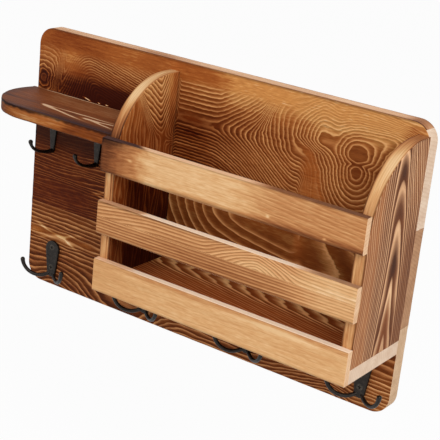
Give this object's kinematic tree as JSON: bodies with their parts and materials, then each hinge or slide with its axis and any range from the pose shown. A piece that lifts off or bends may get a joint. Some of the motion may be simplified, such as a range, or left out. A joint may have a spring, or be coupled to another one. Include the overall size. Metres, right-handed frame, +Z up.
{
  "type": "wall shelf",
  "caption": "Wall shelf in torched pine with a slatted letter box, a small side shelf, double coat hooks below and key hooks under the shelf.",
  "frame": {"origin": "middle of the back panel's rear face, which lies on the wall", "axes": "+X to the right as seen from the room, +Y into the wall, +Z up"},
  "size_m": [0.4081, 0.0987, 0.247],
  "materials": {
    "panel_wood": "torched and brushed pine, satin",
    "side_wood": "torched and brushed pine, satin",
    "shelf_wood": "darkly torched pine, satin",
    "floor_wood": "sanded pine, satin",
    "top_slat_wood": "torched and brushed pine, satin",
    "middle_slat_wood": "lightly torched pine, satin",
    "bottom_slat_wood": "sanded pine, satin",
    "hook_iron": "dark antique, satin",
    "hook_screw": "blackened steel",
    "plated_steel": "zinc plated"
  },
  "bodies": {
    "root": {"back_board_top": "panel_wood", "back_board_middle": "panel_wood", "back_board_bottom": "panel_wood", "left_side_panel": "side_wood", "right_side_panel": "side_wood", "bottom_board": "floor_wood", "top_slat": "top_slat_wood", "middle_slat": "middle_slat_wood", "bottom_slat": "bottom_slat_wood", "shelf_board": "shelf_wood", "double_hook_1": "hook_iron", "double_hook_2": "hook_iron", "double_hook_3": "hook_iron", "double_hook_4": "hook_iron", "double_hook_screws": "hook_screw", "small_hook_1": "hook_iron", "small_hook_2": "hook_iron", "small_hook_screws": "hook_screw", "back_screws": "plated_steel", "floor_screws": "plated_steel", "hanger_plate_left": "plated_steel", "hanger_plate_right": "plated_steel", "hanger_screws": "plated_steel"}
  },
  "joints": []
}
